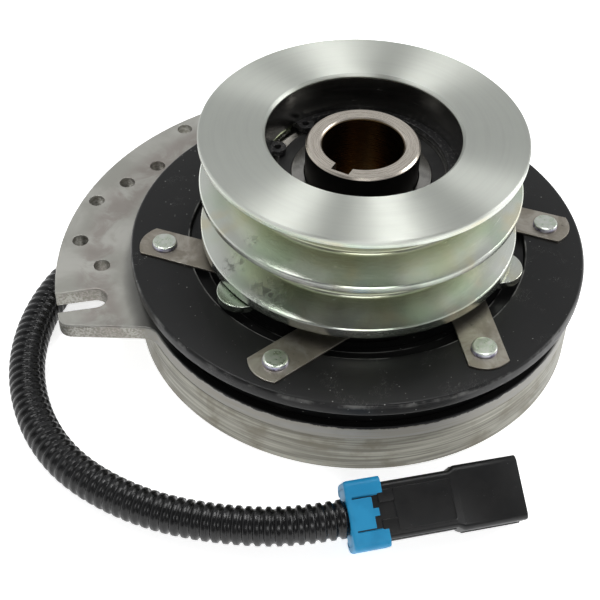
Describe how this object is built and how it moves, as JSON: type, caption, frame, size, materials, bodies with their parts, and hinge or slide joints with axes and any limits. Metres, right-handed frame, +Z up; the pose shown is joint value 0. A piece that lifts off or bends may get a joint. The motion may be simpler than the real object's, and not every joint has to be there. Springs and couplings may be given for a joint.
{
  "type": "electromagnetic clutch",
  "caption": "Electromagnetic power take-off clutch with a fixed coil body and slotted plate, a spring-hung armature, a double V-belt pulley and a plugged lead in convoluted loom.",
  "frame": {"origin": "on the turning axis, in the plane of the field body's underside, where the hub's bore begins", "axes": "+Z up along the turning axis, from the field body to the pulley's open face; -X towards the mounting plate's slot and ear; -Y towards the plug"},
  "size_m": [0.208, 0.2261, 0.083],
  "materials": {
    "zinc_plate": "zinc plated, turned and lightly brushed",
    "bare_steel": "turned bare steel with light stains",
    "plate_steel": "pressed bare steel plate, stained",
    "black_coat": "black coat, semi-gloss, fine scratches",
    "ground_steel": "ground steel",
    "bearing_steel": "polished bearing steel",
    "spring_steel": "rolled stainless spring strip, stained",
    "rivet_zinc": "zinc plated, satin",
    "black_oxide": "black phosphate",
    "copper": "enamelled copper wire",
    "bobbin_plastic": "glass-filled nylon",
    "coil_tape": "varnished cloth tape",
    "friction": "pressed friction material",
    "seal_rubber": "moulded rubber",
    "cage_nylon": "moulded nylon",
    "wire_insulation": "smooth insulation",
    "loom_plastic": "convoluted black plastic, glossy",
    "plug_black": "moulded nylon, satin",
    "lock_blue": "moulded blue plastic",
    "blade_tin": "tinned brass"
  },
  "bodies": {
    "field": {"field_shell": "bare_steel", "mounting_plate": "plate_steel", "coil_bobbin": "bobbin_plastic", "coil_winding": "copper", "coil_tape": "coil_tape", "coil_leads": "wire_insulation", "lead_gland": "plug_black", "field_bearing_outer_race": "bearing_steel", "field_bearing_seals": "seal_rubber", "field_snap_ring": "black_oxide", "wire_loom": "loom_plastic", "connector_body": "plug_black", "connector_lock": "lock_blue", "connector_terminals": "blade_tin"},
    "rotor": {"input_hub": "ground_steel", "rotor_disc": "black_coat", "friction_ring": "friction", "field_bearing_inner_race": "bearing_steel", "pulley_bearing_inner_race": "bearing_steel"},
    "field_cage": {"field_bearing_balls": "bearing_steel", "field_bearing_cage": "cage_nylon"},
    "pulley_cage": {"pulley_bearing_balls": "bearing_steel", "pulley_bearing_cage": "cage_nylon"},
    "pulley": {"pulley": "zinc_plate", "pulley_bearing_outer_race": "bearing_steel", "pulley_bearing_seals": "seal_rubber", "pulley_snap_ring": "black_oxide", "drive_flange": "zinc_plate", "spring_rivets": "rivet_zinc", "leaf_spring_1": "spring_steel", "leaf_spring_2": "spring_steel", "leaf_spring_3": "spring_steel", "leaf_spring_4": "spring_steel", "leaf_spring_5": "spring_steel", "leaf_spring_6": "spring_steel"},
    "armature": {"armature_disc": "black_coat", "armature_rivets": "rivet_zinc"}
  },
  "joints": [
    {"name": "rotor_spin", "type": "hinge", "parent": "field", "child": "rotor", "pos_m": [0, 0, 0], "axis": [0, 0, 1], "continuous": true},
    {"name": "pulley_spin", "type": "hinge", "parent": "rotor", "child": "pulley", "pos_m": [0, 0, 0.058], "axis": [0, 0, 1], "continuous": true},
    {"name": "armature_pull", "type": "slide", "parent": "pulley", "child": "armature", "axis": [0, 0, -1], "range_m": [0, 0.00045], "stiffness_N_per_m": 40000, "springref_m": -0.001, "deforming": ["leaf_spring_1", "leaf_spring_2", "leaf_spring_3", "leaf_spring_4", "leaf_spring_5", "leaf_spring_6"]},
    {"name": "field_cage_spin", "type": "hinge", "parent": "field", "child": "field_cage", "pos_m": [0, 0, 0.0105], "axis": [0, 0, 1], "continuous": true},
    {"name": "pulley_cage_spin", "type": "hinge", "parent": "rotor", "child": "pulley_cage", "pos_m": [0, 0, 0.058], "axis": [0, 0, 1], "continuous": true}
  ],
  "couplings": [
    {"joint": "field_cage_spin", "follows": "rotor_spin", "ratio": 0.4265},
    {"joint": "pulley_cage_spin", "follows": "pulley_spin", "ratio": 0.5735}
  ]
}
